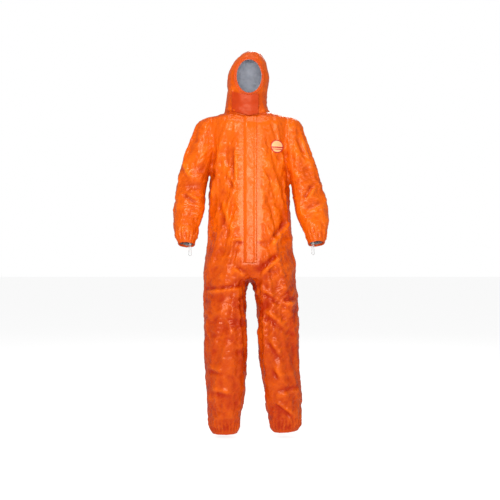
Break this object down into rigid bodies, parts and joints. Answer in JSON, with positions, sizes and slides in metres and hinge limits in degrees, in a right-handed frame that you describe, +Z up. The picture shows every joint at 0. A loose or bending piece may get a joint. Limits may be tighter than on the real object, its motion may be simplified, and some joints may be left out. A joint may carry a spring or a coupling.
{
  "type": "chemical protective suit",
  "caption": "Hooded one-piece protective coverall in orange coated laminate, with zip, storm flap, chin flap, elasticated openings and finger loops",
  "frame": {"origin": "middle of the neck, at the top of the body panels, where the wearer's neck and shoulders hold the suit up", "axes": "+Z up along the wearer's body, -Y the way the wearer faces, +X to the wearer's left"},
  "size_m": [0.6897, 0.2497, 1.7345],
  "materials": {
    "laminate": "smooth coated nonwoven laminate, satin to glossy, crumpled",
    "seam_tape": "heat-sealed laminate tape, glossy",
    "flap_laminate": "coated laminate, satin",
    "white_elastic": "knitted elastic, matt",
    "zip_tape": "woven polyester zip tape, matt",
    "zip_plastic": "moulded zip plastic, satin",
    "release_liner": "silicone release paper, satin",
    "badge_print": "printed laminate, satin",
    "label_cloth": "blank woven label, matt"
  },
  "bodies": {
    "torso": {"front_panel_left": "laminate", "front_panel_right": "laminate", "back_panel_left": "laminate", "back_panel_right": "laminate", "crotch_gusset": "laminate", "inner_zip_guard": "laminate", "side_seam_tape_left": "seam_tape", "shoulder_seam_tape_left": "seam_tape", "armhole_seam_tape_left": "seam_tape", "side_seam_tape_right": "seam_tape", "shoulder_seam_tape_right": "seam_tape", "armhole_seam_tape_right": "seam_tape", "back_seam_tape": "seam_tape", "waist_elastic": "white_elastic", "zip_tape_left": "zip_tape", "zip_tape_right": "zip_tape", "zip_coil_left": "zip_plastic", "zip_coil_right": "zip_plastic", "zip_top_stop": "zip_plastic", "zip_bottom_stop": "zip_plastic", "front_adhesive_tape": "release_liner", "chest_badge": "badge_print", "neck_label": "label_cloth"},
    "storm_flap": {"storm_flap": "flap_laminate", "storm_flap_adhesive": "release_liner"},
    "zip_slider": {"zip_slider": "zip_plastic"},
    "zip_pull": {"zip_pull": "zip_plastic"},
    "hood": {"throat_panel": "laminate", "hood_centre_panel": "laminate", "hood_side_left": "laminate", "hood_side_right": "laminate", "hood_seam_tape_left": "seam_tape", "hood_seam_tape_right": "seam_tape", "face_hem": "laminate", "face_elastic": "white_elastic"},
    "chin_flap": {"chin_flap": "flap_laminate", "chin_flap_adhesive": "release_liner"},
    "sleeve_upper_left": {"sleeve_upper_left": "laminate"},
    "sleeve_lower_left": {"sleeve_lower_left": "laminate", "sleeve_cuff_left": "laminate", "wrist_elastic_left": "white_elastic"},
    "finger_loop_left": {"finger_loop_left": "white_elastic"},
    "leg_upper_left": {"leg_upper_left": "laminate"},
    "leg_lower_left": {"leg_lower_left": "laminate", "ankle_hem_left": "laminate", "ankle_elastic_left": "white_elastic"},
    "sleeve_upper_right": {"sleeve_upper_right": "laminate"},
    "sleeve_lower_right": {"sleeve_lower_right": "laminate", "sleeve_cuff_right": "laminate", "wrist_elastic_right": "white_elastic"},
    "finger_loop_right": {"finger_loop_right": "white_elastic"},
    "leg_upper_right": {"leg_upper_right": "laminate"},
    "leg_lower_right": {"leg_lower_right": "laminate", "ankle_hem_right": "laminate", "ankle_elastic_right": "white_elastic"}
  },
  "joints": [
    {"name": "hood_nod", "type": "hinge", "parent": "torso", "child": "hood", "pos_m": [0, 0.01, 0.016], "axis": [1, 0, 0], "range_deg": [-20, 15]},
    {"name": "chin_flap_swing", "type": "hinge", "parent": "hood", "child": "chin_flap", "pos_m": [-0.066, -0.0787, 0.051], "axis": [0, 0.1027, -0.9947], "range_deg": [0, 100]},
    {"name": "storm_flap_swing", "type": "hinge", "parent": "torso", "child": "storm_flap", "pos_m": [-0.027, -0.1171, -0.0549], "axis": [0, -0.014, -0.9999], "range_deg": [0, 150]},
    {"name": "zip_slide", "type": "slide", "parent": "torso", "child": "zip_slider", "axis": [0, -0.014, -0.9999], "range_m": [0, 0.53]},
    {"name": "zip_pull_swing", "type": "hinge", "parent": "zip_slider", "child": "zip_pull", "pos_m": [0.006, -0.1142, -0.068], "axis": [0, 0.9999, -0.014], "range_deg": [-30, 30]},
    {"name": "shoulder_left", "type": "hinge", "parent": "torso", "child": "sleeve_upper_left", "pos_m": [0.19, 0.008, -0.082], "axis": [0, -1, 0], "range_deg": [0, 45]},
    {"name": "elbow_left", "type": "hinge", "parent": "sleeve_upper_left", "child": "sleeve_lower_left", "pos_m": [0.278, 0, -0.354], "axis": [-0.9514, 0, -0.3078], "range_deg": [-8, 72]},
    {"name": "finger_loop_swing_left", "type": "hinge", "parent": "sleeve_lower_left", "child": "finger_loop_left", "pos_m": [0.283, -0.082, -0.571], "axis": [-1, 0, 0], "range_deg": [-35, 35]},
    {"name": "hip_left", "type": "hinge", "parent": "torso", "child": "leg_upper_left", "pos_m": [0.116, 0, -0.65], "axis": [-1, 0, 0], "range_deg": [-15, 30]},
    {"name": "knee_left", "type": "hinge", "parent": "leg_upper_left", "child": "leg_lower_left", "pos_m": [0.13, -0.005, -1], "axis": [1, 0, 0], "range_deg": [0, 75]},
    {"name": "shoulder_right", "type": "hinge", "parent": "torso", "child": "sleeve_upper_right", "pos_m": [-0.19, 0.008, -0.082], "axis": [0, 1, 0], "range_deg": [0, 45]},
    {"name": "elbow_right", "type": "hinge", "parent": "sleeve_upper_right", "child": "sleeve_lower_right", "pos_m": [-0.272, 0, -0.353], "axis": [-0.9571, 0, 0.2896], "range_deg": [-8, 72]},
    {"name": "finger_loop_swing_right", "type": "hinge", "parent": "sleeve_lower_right", "child": "finger_loop_right", "pos_m": [-0.266, -0.08, -0.575], "axis": [-1, 0, 0], "range_deg": [-35, 35]},
    {"name": "hip_right", "type": "hinge", "parent": "torso", "child": "leg_upper_right", "pos_m": [-0.113, 0, -0.65], "axis": [-1, 0, 0], "range_deg": [-15, 30]},
    {"name": "knee_right", "type": "hinge", "parent": "leg_upper_right", "child": "leg_lower_right", "pos_m": [-0.114, -0.005, -1], "axis": [1, 0, 0], "range_deg": [0, 75]}
  ]
}
